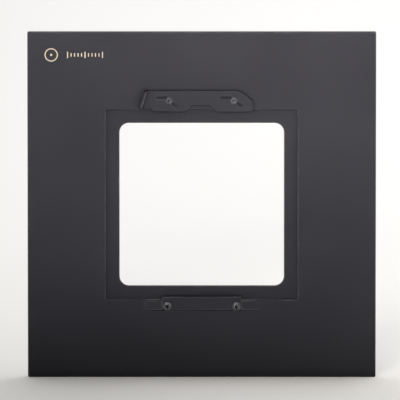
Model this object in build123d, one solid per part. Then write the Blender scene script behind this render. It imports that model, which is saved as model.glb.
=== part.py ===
from build123d import *
import math
import os

# Lens board adapter plate, in millimetres. A square plate carries a smaller square lens board in a
# sunk seat around its light opening. A fixed bar at the bottom and a sliding latch at the top hold
# the board. +X is right, +Z is up and the front faces -Y. The origin is the middle of the plate's
# bottom edge, in the plane of the front face. Outlines are drawn as (u, v) from the light axis,
# u to the right and v up, and heights are measured forward from the front face.

PLATE_SIDE = 200.0
PLATE_THICKNESS = 5.0
PLATE_CORNER_RADIUS = 1.0
PLATE_EDGE_BREAK = 0.4
RIM_EDGE_BREAK = 0.3
SMALL_EDGE_BREAK = 0.2
SAME_HEIGHT = 1e-4

BOARD_SIDE = 110.0
BOARD_PLAY = 0.5
SEAT_SIDE = BOARD_SIDE + BOARD_PLAY
SEAT_DEPTH = 2.2
SEAT_CORNER_RADIUS = 1.2
OPENING_SIDE = 94.5
OPENING_CORNER_RADIUS = 5.5

# Retaining bar: its base lies flush in a pocket, and its raised block reaches over the seat.
BAR_HALF_LENGTH = 32.45
BAR_TOP = -55.7
BAR_BOTTOM = -60.95
BAR_CORNER_RADIUS = 1.2
BAR_BASE_THICKNESS = 1.5
POCKET_GAP = 0.3
BLOCK_HALF_LENGTH = 22.9
BLOCK_TOP = -53.1
BLOCK_RISE = 1.3
BAR_SCREW_U = 19.85
BAR_SCREW_V = -58.7

# Latch slider: bent from sheet, with a finger tab along its slanted left end and two feet.
SLIDER_GAP = 0.05
SLIDER_THICKNESS = 1.5
SLIDER_TOP = 66.4
SLIDER_LEFT_BOTTOM = 55.8
FOOT_BOTTOM = 54.1
TAB_TOP_U = -32.8
TAB_BOTTOM_U = -36.0
TAB_HEIGHT = 5.0
TAB_INNER_BEND_RADIUS = 0.4
TAB_CORNER_RADIUS = 0.8
LEFT_FOOT_U = (-28.6, -9.3)
RIGHT_FOOT_U = (8.5, 29.4)
NOTCH_TOP = 57.6
NOTCH_TOP_U = (-6.2, 4.3)
SLANT_TOP_U = 22.0
SLANT_BOTTOM_V = 60.4
SLIDER_CORNER_RADIUS = 0.5

# Both guide slots are dog-legs. Their points are measured from the guide screw at rest.
LATCH_SCREW_U = 18.6
LATCH_SCREW_V = 60.85
SLOT_WIDTH = 2.4
SLOT_LOCK_END = (-6.75, 1.67)
SLOT_KNEE = (-2.3, 1.67)
SLOT_OPEN_END = (3.85, -2.8)

# Screws and washers. A tapped hole is drawn at its thread's outside diameter.
THREAD_CLEARANCE = 0.02
RUNNING_CLEARANCE = 0.05
SCREW_HOLE_CLEARANCE = 0.1
BAR_THREAD_RADIUS = 1.25
BAR_HOLE_DEPTH = 4.2
BAR_HEAD_RADIUS = 2.45
BAR_HEAD_HEIGHT = 1.9
LATCH_THREAD_RADIUS = 1.0
LATCH_HOLE_DEPTH = 4.0
LATCH_HEAD_RADIUS = 1.75
LATCH_HEAD_HEIGHT = 1.3
HOLE_BOTTOM_ROOM = 0.3
THREAD_POINT = 0.3
SHOULDER_RADIUS = SLOT_WIDTH / 2 - RUNNING_CLEARANCE
FLAT_WASHER_RADIUS = 2.2
FLAT_WASHER_THICKNESS = 0.3
WAVE_WASHER_RADIUS = 1.8
WAVE_WASHER_THICKNESS = 0.15
WAVE_HEIGHT = 0.15
WAVE_COUNT = 3
WAVE_POINTS = 24
STACK_PLAY = 0.03

# Shape of a pan head and its cross recess, as shares of the head's radius or height. Above its
# wall the head rounds over by a quarter circle into a flat crown. The recess is a cross of wings
# round a core that narrows to a blunt tip.
HEAD_WALL_SHARE = 0.4
RECESS_REACH_SHARE = 0.56
RECESS_WIDTH_SHARE = 0.27
RECESS_CORE_SHARE = 0.36
RECESS_TIP_SHARE = 0.15
RECESS_DEPTH_SHARE = 0.65
RECESS_TAPER = 12

SLIDER_FACE = SLIDER_GAP + SLIDER_THICKNESS
FLAT_WASHER_BASE = SLIDER_FACE + STACK_PLAY
WAVE_WASHER_BASE = FLAT_WASHER_BASE + FLAT_WASHER_THICKNESS + STACK_PLAY / 2
WAVE_WASHER_STACK = 2 * WAVE_HEIGHT + WAVE_WASHER_THICKNESS
LATCH_HEAD_BASE = WAVE_WASHER_BASE + WAVE_WASHER_STACK + STACK_PLAY / 2
SIDES = {"left": -1, "right": 1}


def on_face(height=0.0):
    """The plane that lies this far in front of the front face, centred on the light axis."""
    return Plane(origin=(0, -height, PLATE_SIDE / 2), x_dir=(1, 0, 0), z_dir=(0, -1, 0))


def slab(outline, back, front):
    """A flat solid of this outline between two heights above the front face."""
    return extrude(on_face(back) * outline, amount=front - back)


def placed(solid, u, v, height=0.0):
    """Moves a solid made along +Z so that it points forward out of the face at (u, v)."""
    return on_face(height).location * Pos(u, v, 0) * solid


def polygon(*points):
    return make_face(Polyline(*points, close=True))


def edges_at_height(solid, height):
    """The edges of a solid that lie wholly at this height above the front face."""
    return solid.edges().filter_by_position(Axis.Y, -height - SAME_HEIGHT, -height + SAME_HEIGHT)


def pin_hole(u, v, radius, back, front):
    return slab(Pos(u, v) * Circle(radius), back, front)


def adapter_plate():
    """The plate, with the light opening, the board's sunk seat, the bar's pocket and blind holes."""
    outline = RectangleRounded(PLATE_SIDE, PLATE_SIDE, PLATE_CORNER_RADIUS)
    plate = slab(outline, -PLATE_THICKNESS, 0)
    plate = chamfer(edges_at_height(plate, 0), PLATE_EDGE_BREAK)
    plate = chamfer(edges_at_height(plate, -PLATE_THICKNESS), PLATE_EDGE_BREAK)
    plate -= seat_and_pocket()
    plate -= light_opening()
    for side in SIDES.values():
        plate -= pin_hole(side * BAR_SCREW_U, BAR_SCREW_V, BAR_THREAD_RADIUS, -BAR_HOLE_DEPTH, 0)
        plate -= pin_hole(side * LATCH_SCREW_U, LATCH_SCREW_V, LATCH_THREAD_RADIUS, -LATCH_HOLE_DEPTH, 0)
    return plate


def flared(outline, back, front, flare):
    """A flat solid whose front edge opens out at 45 degrees, which breaks the edge it cuts."""
    straight = slab(outline, back, front - flare)
    mouth = loft([on_face(front - flare) * outline, on_face(front) * offset(outline, flare)])
    return straight + mouth


def seat_and_pocket():
    """What is milled away in front: the board's seat, and below it the pocket for the bar."""
    seat = RectangleRounded(SEAT_SIDE, SEAT_SIDE, SEAT_CORNER_RADIUS)
    pocket_width = 2 * (BAR_HALF_LENGTH + POCKET_GAP)
    pocket_bottom = BAR_BOTTOM - POCKET_GAP
    pocket = Pos(0, pocket_bottom / 2) * Rectangle(pocket_width, -pocket_bottom)
    lower_corners = pocket.vertices().group_by(Axis.Y)[0]
    pocket = fillet(lower_corners, BAR_CORNER_RADIUS + POCKET_GAP)
    cutters = flared(seat, -SEAT_DEPTH, 0, RIM_EDGE_BREAK)
    return cutters + flared(pocket, -BAR_BASE_THICKNESS, 0, RIM_EDGE_BREAK)


def light_opening():
    """The hole that the light passes through, with both of its edges broken."""
    opening = RectangleRounded(OPENING_SIDE, OPENING_SIDE, OPENING_CORNER_RADIUS)
    front_part = flared(opening, -PLATE_THICKNESS, -SEAT_DEPTH, RIM_EDGE_BREAK)
    wide = on_face(-PLATE_THICKNESS) * offset(opening, RIM_EDGE_BREAK)
    rear_mouth = loft([wide, on_face(RIM_EDGE_BREAK - PLATE_THICKNESS) * opening])
    return front_part + rear_mouth


def retaining_bar():
    """The fixed lower bar: a flush base and a raised block that overhangs the seat."""
    height = BAR_TOP - BAR_BOTTOM
    base_outline = Pos(0, BAR_BOTTOM + height / 2) * RectangleRounded(
        2 * BAR_HALF_LENGTH, height, BAR_CORNER_RADIUS
    )
    block_height = BLOCK_TOP - BAR_BOTTOM
    block_outline = Pos(0, BAR_BOTTOM + block_height / 2) * Rectangle(2 * BLOCK_HALF_LENGTH, block_height)
    base = slab(base_outline, -BAR_BASE_THICKNESS, 0)
    block = slab(block_outline, 0, BLOCK_RISE)
    block = chamfer(edges_at_height(block, BLOCK_RISE), SMALL_EDGE_BREAK)
    bar = base + block
    hole_radius = BAR_THREAD_RADIUS + SCREW_HOLE_CLEARANCE
    for side in SIDES.values():
        bar -= pin_hole(side * BAR_SCREW_U, BAR_SCREW_V, hole_radius, -BAR_BASE_THICKNESS, BLOCK_RISE)
    return bar


def slider_outline():
    """The slider seen from in front: slanted ends, and two feet with a notch between them."""
    outline = polygon(
        (TAB_BOTTOM_U - SLIDER_THICKNESS, SLIDER_TOP),
        (SLANT_TOP_U, SLIDER_TOP),
        (RIGHT_FOOT_U[1], SLANT_BOTTOM_V),
        (RIGHT_FOOT_U[1], FOOT_BOTTOM),
        (RIGHT_FOOT_U[0], FOOT_BOTTOM),
        (NOTCH_TOP_U[1], NOTCH_TOP),
        (NOTCH_TOP_U[0], NOTCH_TOP),
        (LEFT_FOOT_U[1], FOOT_BOTTOM),
        (LEFT_FOOT_U[0], FOOT_BOTTOM),
        (LEFT_FOOT_U[0], SLIDER_LEFT_BOTTOM),
        (TAB_BOTTOM_U - SLIDER_THICKNESS, SLIDER_LEFT_BOTTOM),
    )
    away_from_tab = outline.vertices().filter_by(lambda corner: corner.X > TAB_TOP_U)
    return fillet(away_from_tab, SLIDER_CORNER_RADIUS)


def bent_sheet():
    """The sheet bent up along the slanted left end, longer and wider than the slider."""
    top = Vector(TAB_TOP_U, 0, SLIDER_TOP)
    bottom = Vector(TAB_BOTTOM_U, 0, SLIDER_LEFT_BOTTOM)
    along = (bottom - top).normalized()
    forward = Vector(0, -1, 0)
    inward = forward.cross(along)
    section = Plane(origin=top + Vector(0, 0, PLATE_SIDE / 2), x_dir=inward, z_dir=along)
    outer_radius = TAB_INNER_BEND_RADIUS + SLIDER_THICKNESS
    reach = RIGHT_FOOT_U[1] - TAB_BOTTOM_U + SLIDER_THICKNESS
    outside = Polyline((reach, SLIDER_FACE), (reach, SLIDER_GAP), (outer_radius, SLIDER_GAP))
    outer_bend = RadiusArc((outer_radius, SLIDER_GAP), (0, SLIDER_GAP + outer_radius), outer_radius)
    tip = Polyline(
        (0, SLIDER_GAP + outer_radius),
        (0, TAB_HEIGHT),
        (SLIDER_THICKNESS, TAB_HEIGHT),
        (SLIDER_THICKNESS, SLIDER_FACE + TAB_INNER_BEND_RADIUS),
    )
    inner_bend = RadiusArc(
        (SLIDER_THICKNESS, SLIDER_FACE + TAB_INNER_BEND_RADIUS),
        (outer_radius, SLIDER_FACE),
        -TAB_INNER_BEND_RADIUS,
    )
    inside = Line((outer_radius, SLIDER_FACE), (reach, SLIDER_FACE))
    profile = make_face(outside + outer_bend + tip + inner_bend + inside)
    return extrude(section * profile, amount=reach, both=True)


def slot_leg(start, end):
    """One straight leg of a guide slot between two points of its centre line."""
    run = Vector(*end) - Vector(*start)
    angle = math.degrees(math.atan2(run.Y, run.X))
    middle = (Vector(*start) + Vector(*end)) / 2
    return Pos(middle.X, middle.Y) * Rot(0, 0, angle) * SlotCenterToCenter(run.length, SLOT_WIDTH)


def latch_slider():
    """The sliding latch: the bent sheet cut to its outline, with broken edges and two slots."""
    slider = slab(slider_outline(), 0, TAB_HEIGHT + SLIDER_GAP) & bent_sheet()
    tab_tip = edges_at_height(slider, TAB_HEIGHT)
    slider = fillet(tab_tip.filter_by(lambda edge: edge.length < 2 * SLIDER_THICKNESS), TAB_CORNER_RADIUS)
    slider = chamfer(edges_at_height(slider, TAB_HEIGHT), SMALL_EDGE_BREAK)
    right_of_bend = SLIDER_THICKNESS + TAB_INNER_BEND_RADIUS + TAB_TOP_U
    face_edges = edges_at_height(slider, SLIDER_FACE)
    slider = chamfer(face_edges.filter_by(lambda edge: edge.center().X > right_of_bend), SMALL_EDGE_BREAK)
    for side in SIDES.values():
        for leg in ((SLOT_LOCK_END, SLOT_KNEE), (SLOT_KNEE, SLOT_OPEN_END)):
            outline = Pos(side * LATCH_SCREW_U, LATCH_SCREW_V) * slot_leg(*leg)
            slider -= slab(outline, 0, TAB_HEIGHT)
    return slider


def pan_head(radius, height):
    """A domed screw head with a cross recess, standing on z = 0."""
    wall = height * HEAD_WALL_SHARE
    crown = radius - (height - wall)
    side = Polyline((0, height), (0, 0), (radius, 0), (radius, wall))
    dome = TangentArc((radius, wall), (crown, height), tangent=(0, 1))
    profile = make_face(side + dome + Line((crown, height), (0, height)))
    head = revolve(Plane.XZ * profile, Axis.Z)
    reach = 2 * radius * RECESS_REACH_SHARE
    width = radius * RECESS_WIDTH_SHARE
    cross = Rectangle(reach, width) + Rectangle(width, reach)
    depth = height * RECESS_DEPTH_SHARE
    wings = extrude(Pos(0, 0, height) * cross, amount=-depth, taper=RECESS_TAPER)
    core = Pos(0, 0, height - depth / 2) * Cone(radius * RECESS_TIP_SHARE, radius * RECESS_CORE_SHARE, depth)
    return head - wings - core


def threaded_shank(radius, length):
    """The threaded part as a plain pin that hangs below z = 0, with a chamfered point."""
    shank = Pos(0, 0, -length / 2) * Cylinder(radius - THREAD_CLEARANCE, length)
    return chamfer(shank.edges().group_by(Axis.Z)[0], THREAD_POINT)


def bar_screw(side):
    """A pan head machine screw through the bar into the plate."""
    head = pan_head(BAR_HEAD_RADIUS, BAR_HEAD_HEIGHT)
    length = BLOCK_RISE + BAR_HOLE_DEPTH - HOLE_BOTTOM_ROOM
    screw = head + threaded_shank(BAR_THREAD_RADIUS, length)
    return placed(screw, side * BAR_SCREW_U, BAR_SCREW_V, BLOCK_RISE)


def latch_screw(side):
    """A shoulder screw: the shoulder stands on the plate and runs in the slider's slot."""
    head = pan_head(LATCH_HEAD_RADIUS, LATCH_HEAD_HEIGHT)
    shoulder = Pos(0, 0, -LATCH_HEAD_BASE / 2) * Cylinder(SHOULDER_RADIUS, LATCH_HEAD_BASE)
    shank = threaded_shank(LATCH_THREAD_RADIUS, LATCH_HOLE_DEPTH - HOLE_BOTTOM_ROOM)
    screw = head + shoulder + Pos(0, 0, -LATCH_HEAD_BASE) * shank
    return placed(screw, side * LATCH_SCREW_U, LATCH_SCREW_V, LATCH_HEAD_BASE)


def flat_washer(side):
    """The washer that rides between the slider and the wave washer."""
    ring = Circle(FLAT_WASHER_RADIUS) - Circle(SHOULDER_RADIUS + SCREW_HOLE_CLEARANCE)
    washer = extrude(ring, amount=FLAT_WASHER_THICKNESS)
    return placed(washer, side * LATCH_SCREW_U, LATCH_SCREW_V, FLAT_WASHER_BASE)


def wave_edge(radius):
    """A closed curve round the washer at this radius, which rises and falls in even waves."""
    turn = 2 * math.pi / WAVE_POINTS
    return Spline(
        *(
            (
                radius * math.cos(turn * i),
                radius * math.sin(turn * i),
                WAVE_HEIGHT * (1 + math.cos(WAVE_COUNT * turn * i)),
            )
            for i in range(WAVE_POINTS)
        ),
        periodic=True,
    )


def wave_washer(side):
    """The spring washer under the screw's head, which gives the latch its drag."""
    sheet = Face.make_surface_from_curves(
        wave_edge(WAVE_WASHER_RADIUS), wave_edge(SHOULDER_RADIUS + SCREW_HOLE_CLEARANCE)
    )
    washer = Solid.extrude(sheet, Vector(0, 0, WAVE_WASHER_THICKNESS))
    return placed(washer, side * LATCH_SCREW_U, LATCH_SCREW_V, WAVE_WASHER_BASE)


def all_parts():
    parts = {
        "adapter_plate": adapter_plate(),
        "retaining_bar": retaining_bar(),
        "latch_slider": latch_slider(),
    }
    for name, side in SIDES.items():
        parts["bar_screw_" + name] = bar_screw(side)
        parts["latch_screw_" + name] = latch_screw(side)
        parts["latch_flat_washer_" + name] = flat_washer(side)
        parts["latch_wave_washer_" + name] = wave_washer(side)
    return parts


os.makedirs("parts", exist_ok=True)
for part_name, part in all_parts().items():
    export_step(part, "parts/" + part_name + ".step")
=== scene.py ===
import math

import bmesh
import bpy
from bpy.props import FloatProperty, FloatVectorProperty, IntProperty, PointerProperty
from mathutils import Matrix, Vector


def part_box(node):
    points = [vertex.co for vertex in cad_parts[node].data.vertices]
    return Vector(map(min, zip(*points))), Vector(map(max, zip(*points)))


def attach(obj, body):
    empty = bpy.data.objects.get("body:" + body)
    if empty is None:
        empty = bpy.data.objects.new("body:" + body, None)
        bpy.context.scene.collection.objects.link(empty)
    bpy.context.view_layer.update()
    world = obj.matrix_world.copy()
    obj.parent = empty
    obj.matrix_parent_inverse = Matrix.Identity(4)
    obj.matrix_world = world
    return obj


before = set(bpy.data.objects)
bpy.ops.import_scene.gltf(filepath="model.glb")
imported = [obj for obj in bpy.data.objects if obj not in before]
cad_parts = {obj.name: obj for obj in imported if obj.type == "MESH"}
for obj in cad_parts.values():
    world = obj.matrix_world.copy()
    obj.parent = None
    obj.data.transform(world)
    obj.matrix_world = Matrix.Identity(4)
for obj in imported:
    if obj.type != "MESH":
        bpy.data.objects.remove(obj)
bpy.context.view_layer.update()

bl_info = {
    "name": "Lens board adapter plate",
    "version": (1, 0, 0),
    "blender": (4, 5, 0),
    "location": "View3D > Sidebar > Adapter Plate",
    "description": "Finishes the adapter plate's pieces and sets up the studio around it",
    "category": "Object",
}

MM = 0.001
PLATE_LOW, PLATE_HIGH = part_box("adapter_plate")
PLATE_SIDE = PLATE_HIGH.x - PLATE_LOW.x
PLATE_FRONT = PLATE_LOW.y
FIXED_BODY = "adapter_body"
SIDES = ("left", "right")

# A noise's octaves, and the two values that most of it lies between.
NOISE_DETAIL = 2.0
PATCH_DETAIL = 3.0
NOISE_LOW = 0.3
NOISE_HIGH = 0.7

# How far each finish draws its grain out along X, Y and Z.
EVEN = (1, 1, 1)
MILLED = (12, 1, 1)
ROLLED = (8, 1, 1)

# Depth of the grain, and how far roughness strays to each side of its setting, as a share.
PIT_DEPTH_MM = 0.012
MILL_DEPTH_MM = 0.008
ROUGHNESS_SPREAD = 0.08

# How strongly an edge is painted paler, as wear and as painted highlight, from the least to the most, and
# the size of one such place.
PLATE_WEAR_AND_HIGHLIGHT = (0.2, 0.6)
BAR_WEAR_AND_HIGHLIGHT = (0.3, 0.6)
LATCH_WEAR_AND_HIGHLIGHT = (0.15, 0.4)
WEAR_AND_HIGHLIGHT_SPOT_MM = 9

# Turned and pressed steel. Each edge wear and rim highlight runs from the least to the most. A rim starts
# to be painted pale as a highlight where the cosine between it and the front falls to RIM_STARTS, and is
# fully painted at RIM_FULL.
SCREW_MARKS_MM = 0.35
WASHER_MARKS_MM = 0.8
MARK_DEPTH_MM = 0.004
STEEL_SPREAD = 0.2
SCREW_EDGE_MM = 0.08
SCREW_EDGE_WEAR = (0.35, 1.0)
SCREW_RIM_HIGHLIGHT = (0.4, 1.0)
WASHER_RIM_HIGHLIGHT = (0.1, 0.3)
WEAR_AND_HIGHLIGHT_LENGTH_MM = 1.0
RIM_STARTS = 0.93
RIM_FULL = 0.65

# The bevel node's samples, and the cosines at which an edge starts to count and counts in full.
EDGE_SAMPLES = 6
EDGE_FLAT = 0.998
EDGE_TURNED = 0.93

# Occlusion's samples, how far it looks, and the openness below which a place counts as closed. Corners and
# recesses are painted darker by it, as painted shade.
CORNER_SAMPLES = 8
CORNER_SHADE_REACH_MM = 6
CORNER_SHADE_CLOSED = 0.1
RECESS_SHADE_REACH_MM = 1.6
RECESS_SHADE_CLOSED = 0.5

# Ink and paper: roughness, the size of a blotch, how strong it is, and how dark it goes.
INK_ROUGHNESS = 0.55
INK_BLOTCH_MM = 0.5
INK_BLOTCH_STRENGTH = 0.25
INK_THIN_SHADE = 0.6
PAPER_ROUGHNESS = 0.8
PAPER_MOTTLE_MM = 300
PAPER_MOTTLE_SHADE = 0.985

# The printed mark. The ring is placed from the plate's upper left corner, the ticks from the ring's
# centre. The dot is DOT_LINES lines wide, and one tick in LONG_TICK_EVERY is long.
MARK_INSET_X_MM = 13.7
MARK_INSET_Z_MM = 13.1
TICKS_START_MM = 9.4
TICK_LONG_MM = 3.6
TICK_SHORT_MM = 2.0
LONG_TICK_EVERY = 5
DOT_LINES = 2
RING_CORNERS = 72

# The corners of a square, as signs of its half sides.
SQUARE = ((-1, -1), (1, -1), (1, 1), (-1, 1))

# Where the side cards stand along Y, in metres, a little in front of the plate.
CARD_Y = -0.15

# The camera's sensor, its far limit in camera distances, and how far it aims from the plate's centre.
SENSOR_MM = 36.0
FAR_LIMIT = 4
FRAMING_X_MM = -1.0
FRAMING_Z_MM = 2.9


def linear_rgb(hex_code):
    """An sRGB hex colour as the linear red, green and blue that Blender works in."""
    channels = [int(hex_code[i : i + 2], 16) / 255 for i in (0, 2, 4)]
    return tuple(c / 12.92 if c <= 0.04045 else ((c + 0.055) / 1.055) ** 2.4 for c in channels)


def per_mm(size_mm):
    """The scale of a texture node, in object metres, whose pattern repeats about every size_mm."""
    return 1 / (size_mm * MM)


def colour_prop(name, description, hex_code):
    colour = linear_rgb(hex_code)
    return FloatVectorProperty(
        name=name, description=description, default=colour, subtype="COLOR", size=3, min=0, max=1
    )


def length_prop(name, description, metres, least=0.0):
    return FloatProperty(name=name, description=description, default=metres, min=least, unit="LENGTH")


def angle_prop(name, description, radians):
    return FloatProperty(name=name, description=description, default=radians, subtype="ANGLE")


def share_prop(name, description, share):
    return FloatProperty(name=name, description=description, default=share, min=0, max=1, subtype="FACTOR")


def strength_prop(name, description, amount):
    return FloatProperty(name=name, description=description, default=amount, min=0)


def place_prop(name, description, point):
    return FloatVectorProperty(name=name, description=description, default=point, subtype="TRANSLATION")


def size_prop(name, metres):
    description = "Width and depth"
    return FloatVectorProperty(name=name, description=description, default=metres, subtype="XYZ", size=2)


class AnodisedSettings(bpy.types.PropertyGroup):
    """The black finish of the plate, the bar and the latch."""

    dye: colour_prop("Dye", "Black dye sealed into the oxide", "202024")
    dye_worn: colour_prop("Thin dye", "Where the dye took a little less", "242428")
    # Painted shade: inner corners, slots and the seat's walls are darkened towards this colour, as shade
    # falls there.
    corner: colour_prop("Inner corner", "Where the blast didn't reach, so the oxide is smooth", "141417")
    # Edge wear and painted highlight: edges are painted towards this paler colour, partly as oxide worn
    # thin and partly as the light their edge breaks catch.
    edge_wear_and_highlight: colour_prop("Rubbed edge", "Edges where handling has thinned the oxide", "84848B")
    roughness: share_prop("Roughness", "Sheen of the blasted surface", 0.46)
    blast_grain: length_prop("Blast grain", "Size of the blasted pits as drawn", 0.9 * MM, 0.05 * MM)
    dye_patch: length_prop("Dye patches", "Size of the cloudy changes in the dye", 55 * MM, 5 * MM)
    edge_width: length_prop("Edge wear width", "How far the rubbing reaches in from an edge", 0.35 * MM)


class SteelSettings(bpy.types.PropertyGroup):
    """The finish of the screws and washers."""

    blackened: colour_prop("Blackened steel", "Oil-blackened screw steel", "3C3C40")
    # Painted shade: the driver recess and the close hollows round a head are darkened towards this colour.
    recess: colour_prop("Recess", "Inside the driver recess, where the oil stays", "060607")
    # Worn steel and painted highlight: sharp edges worn bare, and rims that round away from the front
    # painted pale as a highlight, go towards this colour.
    bright: colour_prop("Bright steel", "Steel where the blacking has worn off", "C4C4C8")
    roughness: share_prop("Roughness", "Sheen of the blackened steel", 0.36)


class MarkSettings(bpy.types.PropertyGroup):
    """The plain printed index mark near the plate's upper left corner."""

    ink: colour_prop("Ink", "Pale gold screen ink", "B9AD96")
    ring_radius: length_prop("Ring radius", "Outside radius of the ring", 3.8 * MM, 1 * MM)
    line_width: length_prop("Line width", "Width of every printed line", 0.55 * MM, 0.1 * MM)
    ink_thickness: length_prop("Ink thickness", "How far the ink stands proud", 0.03 * MM, 0.005 * MM)
    tick_count: IntProperty(name="Ticks", description="Ticks in the row beside the ring", default=11, min=2)
    tick_spacing: length_prop("Tick spacing", "From one tick to the next", 2.0 * MM, 0.5 * MM)


class StageSettings(bpy.types.PropertyGroup):
    """The floor, the lights and the camera. The ceiling whitens the background and throws the plate's
    shadow forward. The strip lights the plate from the top down, and the table light lights the floor
    that the rest of the plate reflects. The cards pick out its upright edges."""

    floor: colour_prop("Floor", "Pale matt paper", "F2F1F0")
    floor_size: length_prop("Floor size", "Side of the square floor", 30.0, 1)
    room: colour_prop("Room", "Colour of the light from all round", "FFF3E4")
    room_strength: strength_prop("Room strength", "Strength of the light from all round", 0.05)
    ceiling_place: place_prop("Ceiling", "Middle of the soft ceiling", (0.9, 1.55, 0.71))
    ceiling_size: size_prop("Ceiling size", (3.0, 3.4))
    ceiling_power: strength_prop("Ceiling power", "In watts", 44.0)
    strip_place: place_prop("Strip light", "Middle of the gridded strip", (0.05, -1.1, 0.42))
    strip_aim: place_prop("Strip aim", "The point the strip faces", (0.4, 0.0, 0.42))
    strip_size: size_prop("Strip size", (0.8, 0.3))
    strip_spread: angle_prop("Strip spread", "Full angle the strip's grid lets out", 1.1)
    strip_colour: colour_prop("Strip colour", "A little warmer than the ceiling", "FFF9EF")
    strip_power: strength_prop("Strip power", "In watts", 5.2)
    table_place: place_prop("Table light", "Middle of the gridded box over the table", (0.4, -0.55, 0.5))
    table_size: size_prop("Table light size", (1.4, 0.5))
    table_spread: angle_prop("Table light spread", "Full angle the box's grid lets out", 0.8)
    table_power: strength_prop("Table light power", "In watts", 19.0)
    card_distance: length_prop("Card distance", "How far each side card stands from the middle", 0.9)
    card_size: size_prop("Card size", (0.7, 0.9))
    card_power: strength_prop("Card power", "In watts, each", 0.8)
    camera_distance: length_prop("Camera distance", "From the camera to the plate", 6.5, 1)
    camera_elevation: angle_prop("Camera elevation", "Height above the horizon", math.radians(8))
    view_width: length_prop("View width", "Width of what the camera sees at the plate", 0.2297, 0.01)


def add_node(tree, kind, properties=None, inputs=None, output=None):
    """Adds a node and returns one of its outputs, the first if none is named. Each input, given by
    name or by place, takes a fixed value or another node's output."""
    node = tree.nodes.new(kind)
    for name, value in (properties or {}).items():
        setattr(node, name, value)
    sockets = [socket for socket in node.inputs if socket.enabled]
    for key, value in (inputs or {}).items():
        target = sockets[key] if isinstance(key, int) else next(s for s in sockets if s.name == key)
        if isinstance(value, bpy.types.NodeSocket):
            tree.links.new(value, target)
        else:
            target.default_value = value
    if not node.outputs:
        return None
    return next(s for s in node.outputs if s.enabled and output in (None, s.name))


def new_surface(name, fixed, linked):
    """A material with one Principled shader. The fixed inputs are values, and linked(tree) makes
    the outputs that drive the others."""
    material = bpy.data.materials.new(name)
    material.use_nodes = True
    tree = material.node_tree
    tree.nodes.clear()
    surface = add_node(tree, "ShaderNodeBsdfPrincipled", inputs={**fixed, **linked(tree)})
    add_node(tree, "ShaderNodeOutputMaterial", inputs={"Surface": surface})
    return material


def noise(tree, size_mm, detail=NOISE_DETAIL, stretch=EVEN):
    """A noise in object space with features of about size_mm, drawn out along the axes by stretch."""
    place = add_node(tree, "ShaderNodeTexCoord", output="Object")
    squeeze = [1 / factor for factor in stretch]
    place = add_node(tree, "ShaderNodeMapping", inputs={"Vector": place, "Scale": squeeze})
    inputs = {"Vector": place, "Scale": per_mm(size_mm), "Detail": detail}
    return add_node(tree, "ShaderNodeTexNoise", inputs=inputs)


def ramp(tree, value, low, high, at_low=0.0, at_high=1.0):
    """Takes low to at_low and high to at_high, and clamps what lies outside."""
    limits = {"Value": value, "From Min": low, "From Max": high, "To Min": at_low, "To Max": at_high}
    return add_node(tree, "ShaderNodeMapRange", inputs=limits)


def patchy(tree, size_mm, low=0.0, high=1.0, **shape):
    """A noise with its usual values spread over low to high."""
    return ramp(tree, noise(tree, size_mm, **shape), NOISE_LOW, NOISE_HIGH, low, high)


def multiply(tree, first, second):
    """The product of two outputs."""
    return add_node(tree, "ShaderNodeMath", {"operation": "MULTIPLY"}, {0: first, 1: second})


def mix_colours(tree, factor, first, second):
    """A colour between two others. Each is an output or a linear colour."""
    first, second = (c if isinstance(c, bpy.types.NodeSocket) else (*c, 1) for c in (first, second))
    inputs = {"Factor": factor, "A": first, "B": second}
    return add_node(tree, "ShaderNodeMix", {"data_type": "RGBA"}, inputs)


def cosine(tree, first, second):
    """The cosine between two directions."""
    inputs = {0: first, 1: second}
    return add_node(tree, "ShaderNodeVectorMath", {"operation": "DOT_PRODUCT"}, inputs, "Value")


def edge_mask(tree, width, strength):
    """How much a place counts as an edge: 0 on a flat, and strength on an edge."""
    rounded = add_node(tree, "ShaderNodeBevel", {"samples": EDGE_SAMPLES}, {"Radius": width})
    flat = add_node(tree, "ShaderNodeNewGeometry", output="Normal")
    return multiply(tree, ramp(tree, cosine(tree, rounded, flat), EDGE_FLAT, EDGE_TURNED), strength)


def openness(tree, reach_mm, closed):
    """How open a place is, from 0 deep in a slot or a corner to 1 on an open face. A place whose
    surroundings are no more open than the closed share counts as 0."""
    inputs = {"Distance": reach_mm * MM}
    seen = add_node(tree, "ShaderNodeAmbientOcclusion", {"samples": CORNER_SAMPLES}, inputs, "AO")
    return ramp(tree, seen, closed, 1.0)


def bump(tree, height, depth_mm):
    """A bumped normal whose height of 1 stands depth_mm proud."""
    inputs = {"Strength": 1.0, "Distance": depth_mm * MM, "Height": height}
    return add_node(tree, "ShaderNodeBump", inputs=inputs)


def uneven_roughness(tree, pattern, roughness, spread):
    """The roughness, made to stray by up to a share of itself either way as the pattern does."""
    return ramp(tree, pattern, NOISE_LOW, NOISE_HIGH, roughness * (1 - spread), roughness * (1 + spread))


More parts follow.
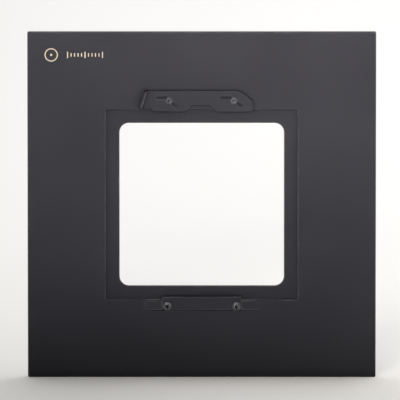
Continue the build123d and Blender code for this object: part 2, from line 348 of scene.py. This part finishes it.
def anodised(name, settings, grain, depth_mm, wear_and_highlight_range):
    """Black dyed anodised aluminium. The dye swallows most of the metal's reflection and leaves a satin
    sheen. Edges are painted paler, partly as oxide worn thin by handling and partly as painted highlight
    where the edge breaks catch the light. Inner corners, slots and the seat's walls are painted darker as
    shade. The real pits are about 0.05 mm, too fine to show, so they are drawn coarser. grain draws them
    out into milling or rolling marks."""

    def drive(tree):
        patches = patchy(tree, settings.dye_patch / MM, detail=PATCH_DETAIL)
        dye = mix_colours(tree, patches, settings.dye, settings.dye_worn)
        # Painted shade: the less open a place, the nearer its colour goes to the inner corner colour.
        open_share = openness(tree, CORNER_SHADE_REACH_MM, CORNER_SHADE_CLOSED)
        shaded = mix_colours(tree, open_share, settings.corner, dye)
        # Edge wear and painted highlight along every edge.
        edge_wear_and_highlight_mask = edge_mask(tree, settings.edge_width, patchy(tree, WEAR_AND_HIGHLIGHT_SPOT_MM, *wear_and_highlight_range))
        pits = noise(tree, settings.blast_grain / MM, stretch=grain)
        return {
            "Base Color": mix_colours(tree, edge_wear_and_highlight_mask, shaded, settings.edge_wear_and_highlight),
            "Roughness": uneven_roughness(tree, pits, settings.roughness, ROUGHNESS_SPREAD),
            "Normal": bump(tree, pits, depth_mm),
        }

    return new_surface(name, {"Metallic": 1.0}, drive)


def blackened_steel(name, settings, marks_mm, rim_highlight):
    """Oil-blackened machined steel: a dark metal sheen with faint turning marks. The black has worn off
    sharp edges. Whatever rounds away from the front, which faces minus Y, is painted pale as a highlight,
    and the driver recess is painted dark as shade. So a head shows as a pale painted ring round a dark
    painted recess."""

    def drive(tree):
        # Painted highlight: rims that round away from the front are painted pale.
        facing = cosine(tree, add_node(tree, "ShaderNodeTexCoord", output="Normal"), (0, -1, 0))
        rounding = ramp(tree, facing, RIM_STARTS, RIM_FULL)
        rim_highlight_mask = multiply(tree, rounding, patchy(tree, WEAR_AND_HIGHLIGHT_LENGTH_MM, *rim_highlight))
        edges = edge_mask(tree, SCREW_EDGE_MM * MM, patchy(tree, WEAR_AND_HIGHLIGHT_LENGTH_MM, *SCREW_EDGE_WEAR))
        worn_and_lit = mix_colours(tree, rim_highlight_mask, settings.blackened, settings.bright)
        worn_and_lit = mix_colours(tree, edges, worn_and_lit, settings.bright)
        marks = noise(tree, marks_mm)
        # Painted shade: the recess and close hollows go towards the recess colour.
        out_of_recess = openness(tree, RECESS_SHADE_REACH_MM, RECESS_SHADE_CLOSED)
        return {
            "Base Color": mix_colours(tree, out_of_recess, settings.recess, worn_and_lit),
            "Roughness": uneven_roughness(tree, marks, settings.roughness, STEEL_SPREAD),
            "Normal": bump(tree, marks, MARK_DEPTH_MM),
        }

    return new_surface(name, {"Metallic": 1.0}, drive)


def screen_ink(name, settings):
    """Screen-printed ink: matt and slightly uneven where the mesh laid it thinner."""

    def drive(tree):
        thin = patchy(tree, INK_BLOTCH_MM, 0.0, INK_BLOTCH_STRENGTH)
        thinner = [channel * INK_THIN_SHADE for channel in settings.ink]
        return {"Base Color": mix_colours(tree, thin, settings.ink, thinner)}

    return new_surface(name, {"Roughness": INK_ROUGHNESS}, drive)


def floor_paper(name, settings):
    """Matt studio paper: a soft warm white with a faint mottle and no gloss."""

    def drive(tree):
        mottled = [channel * PAPER_MOTTLE_SHADE for channel in settings.floor]
        return {"Base Color": mix_colours(tree, patchy(tree, PAPER_MOTTLE_MM), settings.floor, mottled)}

    return new_surface(name, {"Roughness": PAPER_ROUGHNESS}, drive)


def finish_nodes(material, names):
    """Gives CAD nodes one material. Their shapes stay as they are."""
    for name in names:
        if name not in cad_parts:
            raise RuntimeError(f"the frame has no node named {name}")
        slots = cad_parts[name].material_slots
        if not slots:
            raise RuntimeError(f"{name} has no material slot to fill")
        for slot in slots:
            slot.material = material


class ADAPTER_OT_finish_plate(bpy.types.Operator):
    """Finish the plate as blasted and black anodised aluminium"""

    bl_idname = "adapter.finish_plate"
    bl_label = "Finish the plate"

    def execute(self, context):
        settings = context.scene.adapter_anodised
        finish = anodised("aluminium_blasted_black_anodised", settings, EVEN, PIT_DEPTH_MM, PLATE_WEAR_AND_HIGHLIGHT)
        finish_nodes(finish, ["adapter_plate"])
        return {"FINISHED"}


class ADAPTER_OT_finish_bar(bpy.types.Operator):
    """Finish the retaining bar as milled and black anodised aluminium"""

    bl_idname = "adapter.finish_bar"
    bl_label = "Finish the retaining bar"

    def execute(self, context):
        settings = context.scene.adapter_anodised
        finish = anodised("aluminium_milled_black_anodised", settings, MILLED, MILL_DEPTH_MM, BAR_WEAR_AND_HIGHLIGHT)
        finish_nodes(finish, ["retaining_bar"])
        return {"FINISHED"}


class ADAPTER_OT_finish_latch(bpy.types.Operator):
    """Finish the latch slider as rolled sheet, bent and black anodised"""

    bl_idname = "adapter.finish_latch"
    bl_label = "Finish the latch slider"

    def execute(self, context):
        settings = context.scene.adapter_anodised
        finish = anodised("aluminium_sheet_black_anodised", settings, ROLLED, MILL_DEPTH_MM, LATCH_WEAR_AND_HIGHLIGHT)
        finish_nodes(finish, ["latch_slider"])
        return {"FINISHED"}


class ADAPTER_OT_finish_screws(bpy.types.Operator):
    """Finish the four screws as blackened steel"""

    bl_idname = "adapter.finish_screws"
    bl_label = "Finish the screws"

    def execute(self, context):
        settings = context.scene.adapter_steel
        steel = blackened_steel("steel_machined_blackened", settings, SCREW_MARKS_MM, SCREW_RIM_HIGHLIGHT)
        finish_nodes(steel, [kind + side for kind in ("bar_screw_", "latch_screw_") for side in SIDES])
        return {"FINISHED"}


class ADAPTER_OT_finish_washers(bpy.types.Operator):
    """Finish the flat and wave washers as pressed, blackened spring steel"""

    bl_idname = "adapter.finish_washers"
    bl_label = "Finish the washers"

    def execute(self, context):
        settings = context.scene.adapter_steel
        steel = blackened_steel("steel_pressed_blackened", settings, WASHER_MARKS_MM, WASHER_RIM_HIGHLIGHT)
        kinds = ("latch_flat_washer_", "latch_wave_washer_")
        finish_nodes(steel, [kind + side for kind in kinds for side in SIDES])
        return {"FINISHED"}


def add_ring(mesh, centre, outer, inner):
    """Adds a flat ring that faces the front to a bmesh."""
    corners = []
    for i in range(RING_CORNERS):
        angle = 2 * math.pi * i / RING_CORNERS
        direction = Vector((math.cos(angle), 0, math.sin(angle)))
        corners.append([mesh.verts.new(centre + direction * radius) for radius in (outer, inner)])
    for here, after in zip(corners, corners[1:] + corners[:1]):
        mesh.faces.new((here[0], after[0], after[1], here[1]))


def add_bar(mesh, centre, width, height):
    """Adds a flat upright rectangle that faces the front to a bmesh."""
    offsets = [Vector((x * width / 2, 0, z * height / 2)) for x, z in SQUARE]
    mesh.faces.new([mesh.verts.new(centre + offset) for offset in offsets])


class ADAPTER_OT_add_index_mark(bpy.types.Operator):
    """Print a ring with a centre dot and a row of ticks near the plate's upper left corner"""

    bl_idname = "adapter.add_index_mark"
    bl_label = "Print the index mark"

    def execute(self, context):
        settings = context.scene.adapter_mark
        corner = Vector((PLATE_LOW.x, PLATE_FRONT, PLATE_HIGH.z))
        centre = corner + Vector((MARK_INSET_X_MM, 0, -MARK_INSET_Z_MM)) * MM
        line = settings.line_width
        flat = bmesh.new()
        add_ring(flat, centre, settings.ring_radius, settings.ring_radius - line)
        add_bar(flat, centre, DOT_LINES * line, DOT_LINES * line)
        first = centre + Vector((TICKS_START_MM * MM, 0, 0))
        for i in range(settings.tick_count):
            height = TICK_LONG_MM if i % LONG_TICK_EVERY == 0 else TICK_SHORT_MM
            add_bar(flat, first + Vector((i * settings.tick_spacing, 0, 0)), line, height * MM)
        raised = bmesh.ops.extrude_face_region(flat, geom=flat.faces[:])
        front = [part for part in raised["geom"] if isinstance(part, bmesh.types.BMVert)]
        bmesh.ops.translate(flat, verts=front, vec=(0, -settings.ink_thickness, 0))
        bmesh.ops.recalc_face_normals(flat, faces=flat.faces[:])
        mesh = bpy.data.meshes.new("index_mark")
        flat.to_mesh(mesh)
        flat.free()
        mesh.materials.append(screen_ink("ink_screen_printed_gold", settings))
        mark = bpy.data.objects.new("index_mark", mesh)
        context.scene.collection.objects.link(mark)
        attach(mark, FIXED_BODY)
        return {"FINISHED"}


def add_softbox(context, name, place, size, power, aim=None, spread=math.pi, colour=(1, 1, 1)):
    """A soft light of the given width and depth. It points down, or at aim. The camera can't see it."""
    light = bpy.data.lights.new(name, "AREA")
    light.shape = "RECTANGLE"
    light.size, light.size_y = size
    light.energy = power
    light.spread = spread
    light.color = colour
    lamp = bpy.data.objects.new(name, light)
    lamp.location = place
    if aim is not None:
        lamp.rotation_euler = (aim - lamp.location).to_track_quat("-Z", "Y").to_euler()
    lamp.visible_camera = False
    context.scene.collection.objects.link(lamp)


def add_floor(context, settings):
    """A square sheet of paper that the plate stands on."""
    half = settings.floor_size / 2
    flat = bmesh.new()
    flat.faces.new([flat.verts.new((x * half, y * half, 0)) for x, y in SQUARE])
    mesh = bpy.data.meshes.new("floor")
    flat.to_mesh(mesh)
    flat.free()
    mesh.materials.append(floor_paper("paper_matt_white", settings))
    floor = bpy.data.objects.new("floor", mesh)
    context.scene.collection.objects.link(floor)


def add_sky(context, settings):
    """Even pale light from all round, as in a white room."""
    world = bpy.data.worlds.new("white_room")
    world.use_nodes = True
    shade = world.node_tree.nodes["Background"]
    shade.inputs["Color"].default_value = (*settings.room, 1)
    shade.inputs["Strength"].default_value = settings.room_strength
    context.scene.world = world


def add_camera(context, settings):
    """A long lens in front of the plate, a little above it."""
    centre = Vector((0, PLATE_FRONT, (PLATE_LOW.z + PLATE_HIGH.z) / 2))
    aim = centre + Vector((FRAMING_X_MM * MM, 0, FRAMING_Z_MM * MM))
    tilt = settings.camera_elevation
    back = Vector((0, -math.cos(tilt), math.sin(tilt)))
    lens = bpy.data.cameras.new("camera")
    lens.sensor_width = SENSOR_MM
    lens.lens = SENSOR_MM * settings.camera_distance / settings.view_width
    lens.clip_end = FAR_LIMIT * settings.camera_distance
    camera = bpy.data.objects.new("camera", lens)
    camera.location = aim + back * settings.camera_distance
    camera.rotation_euler = (-back).to_track_quat("-Z", "Y").to_euler()
    context.scene.collection.objects.link(camera)
    context.scene.camera = camera


class ADAPTER_OT_set_stage(bpy.types.Operator):
    """Lay the floor, hang the soft lights and place the camera"""

    bl_idname = "adapter.set_stage"
    bl_label = "Set the stage"

    def execute(self, context):
        settings = context.scene.adapter_stage
        add_floor(context, settings)
        add_sky(context, settings)
        add_softbox(
            context,
            "ceiling",
            settings.ceiling_place,
            settings.ceiling_size,
            settings.ceiling_power,
        )
        add_softbox(
            context,
            "gridded_strip",
            settings.strip_place,
            settings.strip_size,
            settings.strip_power,
            aim=Vector(settings.strip_aim),
            spread=settings.strip_spread,
            colour=settings.strip_colour,
        )
        add_softbox(
            context,
            "table_light",
            settings.table_place,
            settings.table_size,
            settings.table_power,
            spread=settings.table_spread,
        )
        middle = Vector((0, CARD_Y, PLATE_SIDE / 2))
        for name, side in (("left_card", -1), ("right_card", 1)):
            place = middle + Vector((side * settings.card_distance, 0, 0))
            add_softbox(context, name, place, settings.card_size, settings.card_power, aim=middle)
        add_camera(context, settings)
        context.scene.view_settings.view_transform = "Standard"
        return {"FINISHED"}


class ADAPTER_PT_panel(bpy.types.Panel):
    """The steps that finish the adapter plate, in order"""

    bl_label = "Adapter Plate"
    bl_idname = "ADAPTER_PT_panel"
    bl_space_type = "VIEW_3D"
    bl_region_type = "UI"
    bl_category = "Adapter Plate"

    def draw(self, context):
        for operator in OPERATORS:
            self.layout.operator(operator.bl_idname)


SETTINGS = {
    "adapter_anodised": AnodisedSettings,
    "adapter_steel": SteelSettings,
    "adapter_mark": MarkSettings,
    "adapter_stage": StageSettings,
}
OPERATORS = (
    ADAPTER_OT_finish_plate,
    ADAPTER_OT_finish_bar,
    ADAPTER_OT_finish_latch,
    ADAPTER_OT_finish_screws,
    ADAPTER_OT_finish_washers,
    ADAPTER_OT_add_index_mark,
    ADAPTER_OT_set_stage,
)
CLASSES = (*SETTINGS.values(), *OPERATORS, ADAPTER_PT_panel)


def register():
    for cls in CLASSES:
        bpy.utils.register_class(cls)
    for name, group in SETTINGS.items():
        setattr(bpy.types.Scene, name, PointerProperty(type=group))


def unregister():
    for name in SETTINGS:
        delattr(bpy.types.Scene, name)
    for cls in reversed(CLASSES):
        bpy.utils.unregister_class(cls)


def main():
    """Registers the add-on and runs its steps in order."""
    register()
    bpy.ops.adapter.finish_plate()
    bpy.ops.adapter.finish_bar()
    bpy.ops.adapter.finish_latch()
    bpy.ops.adapter.finish_screws()
    bpy.ops.adapter.finish_washers()
    bpy.ops.adapter.add_index_mark()
    bpy.ops.adapter.set_stage()


if __name__ == "__main__":
    main()
